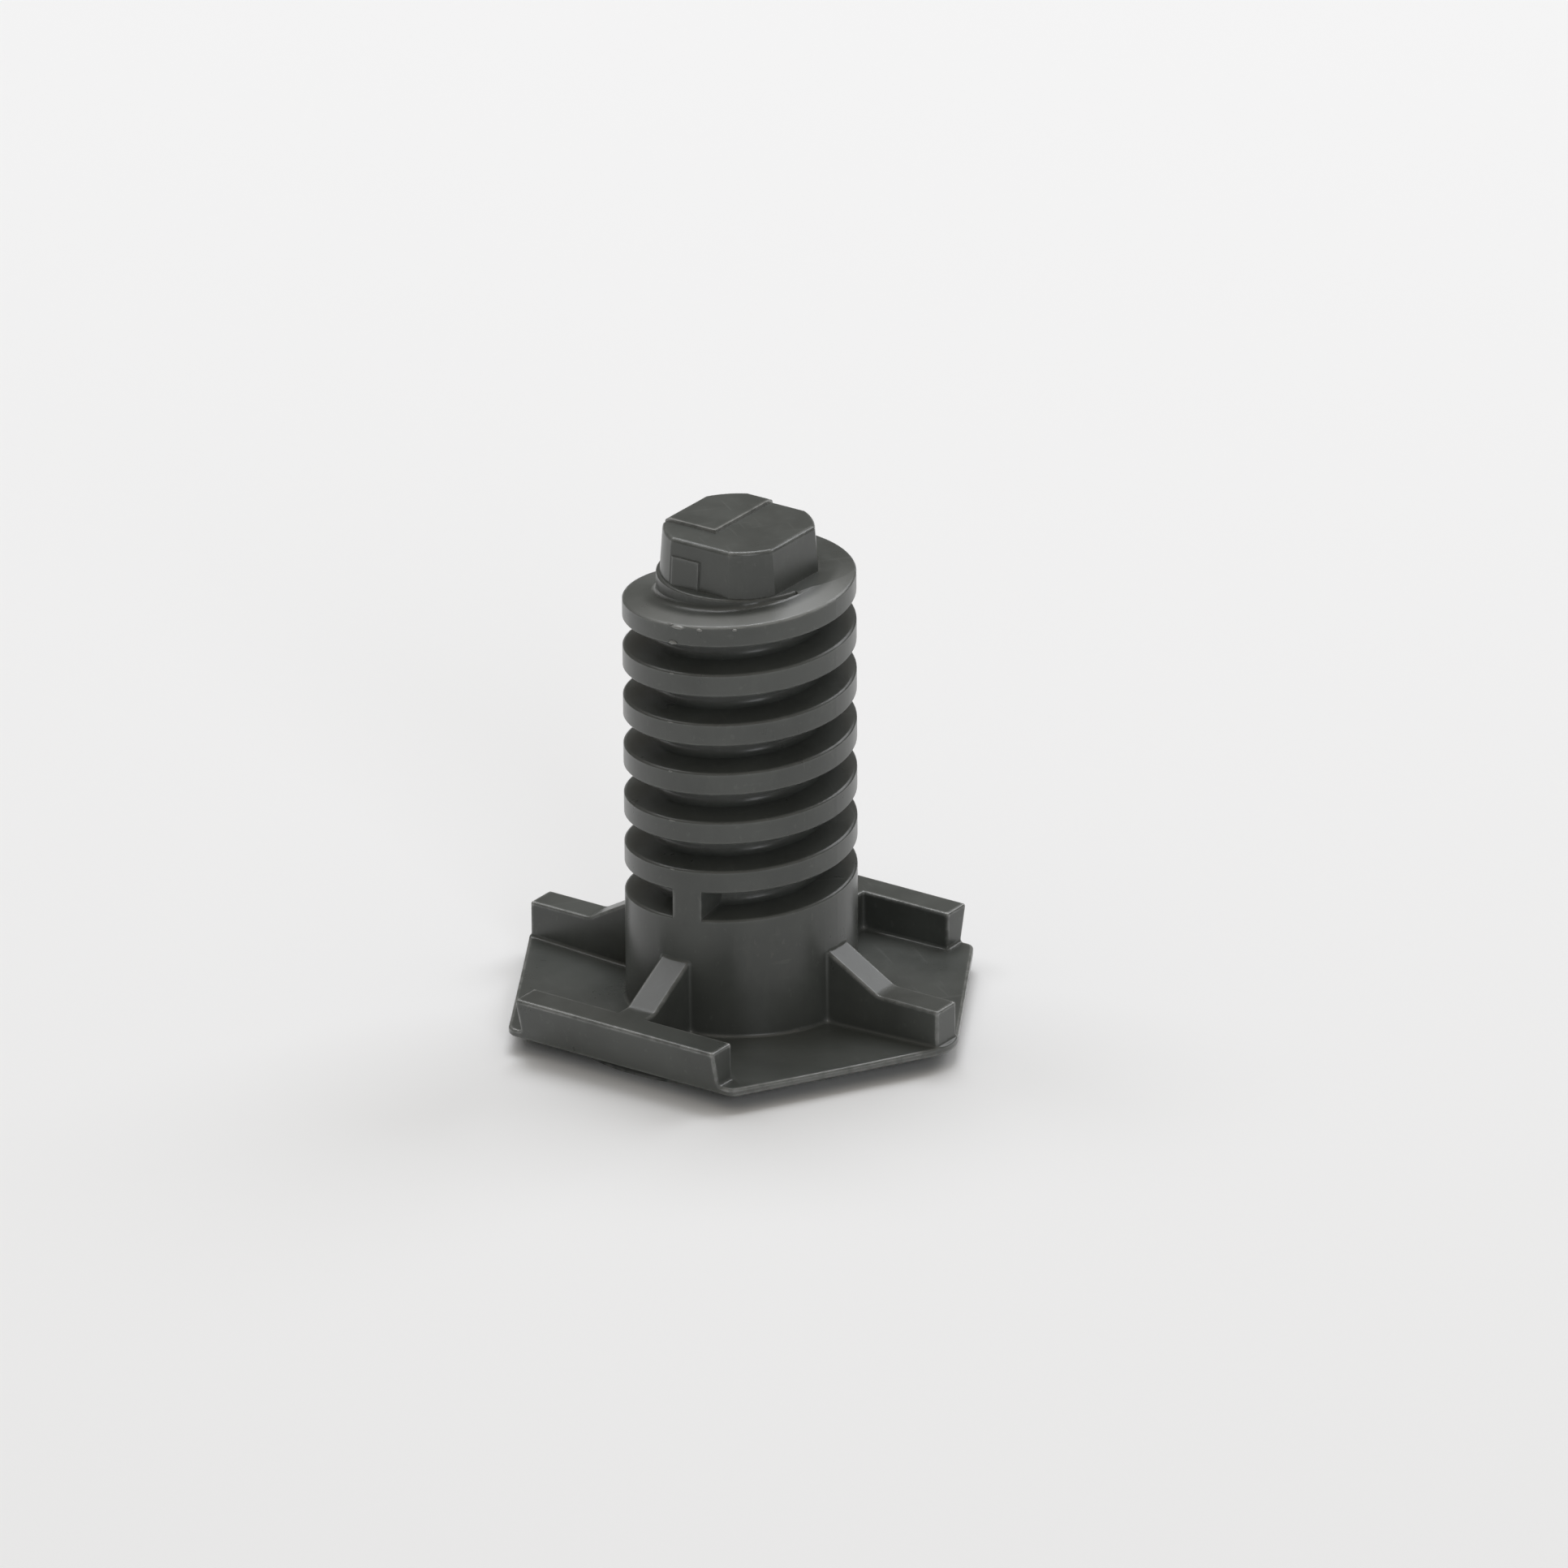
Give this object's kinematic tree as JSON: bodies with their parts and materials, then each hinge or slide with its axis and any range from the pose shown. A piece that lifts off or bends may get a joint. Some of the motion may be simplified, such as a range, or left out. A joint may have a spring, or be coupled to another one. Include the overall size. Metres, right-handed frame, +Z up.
{
  "type": "oven leveling leg",
  "caption": "Moulded plastic screw-in leg with a hexagonal ribbed foot, a coarse threaded shaft and a squared drive nub, for levelling a kitchen range.",
  "frame": {"origin": "middle of the foot's flat underside, on the axis of the shaft", "axes": "+Z up the shaft towards the drive nub, X through two corners of the hexagon, Y through the two walled sides"},
  "size_m": [0.0478, 0.0422, 0.05],
  "materials": {
    "black_plastic": "fine satin moulded surface"
  },
  "bodies": {
    "root": {"leveling_leg": "black_plastic"}
  },
  "joints": []
}
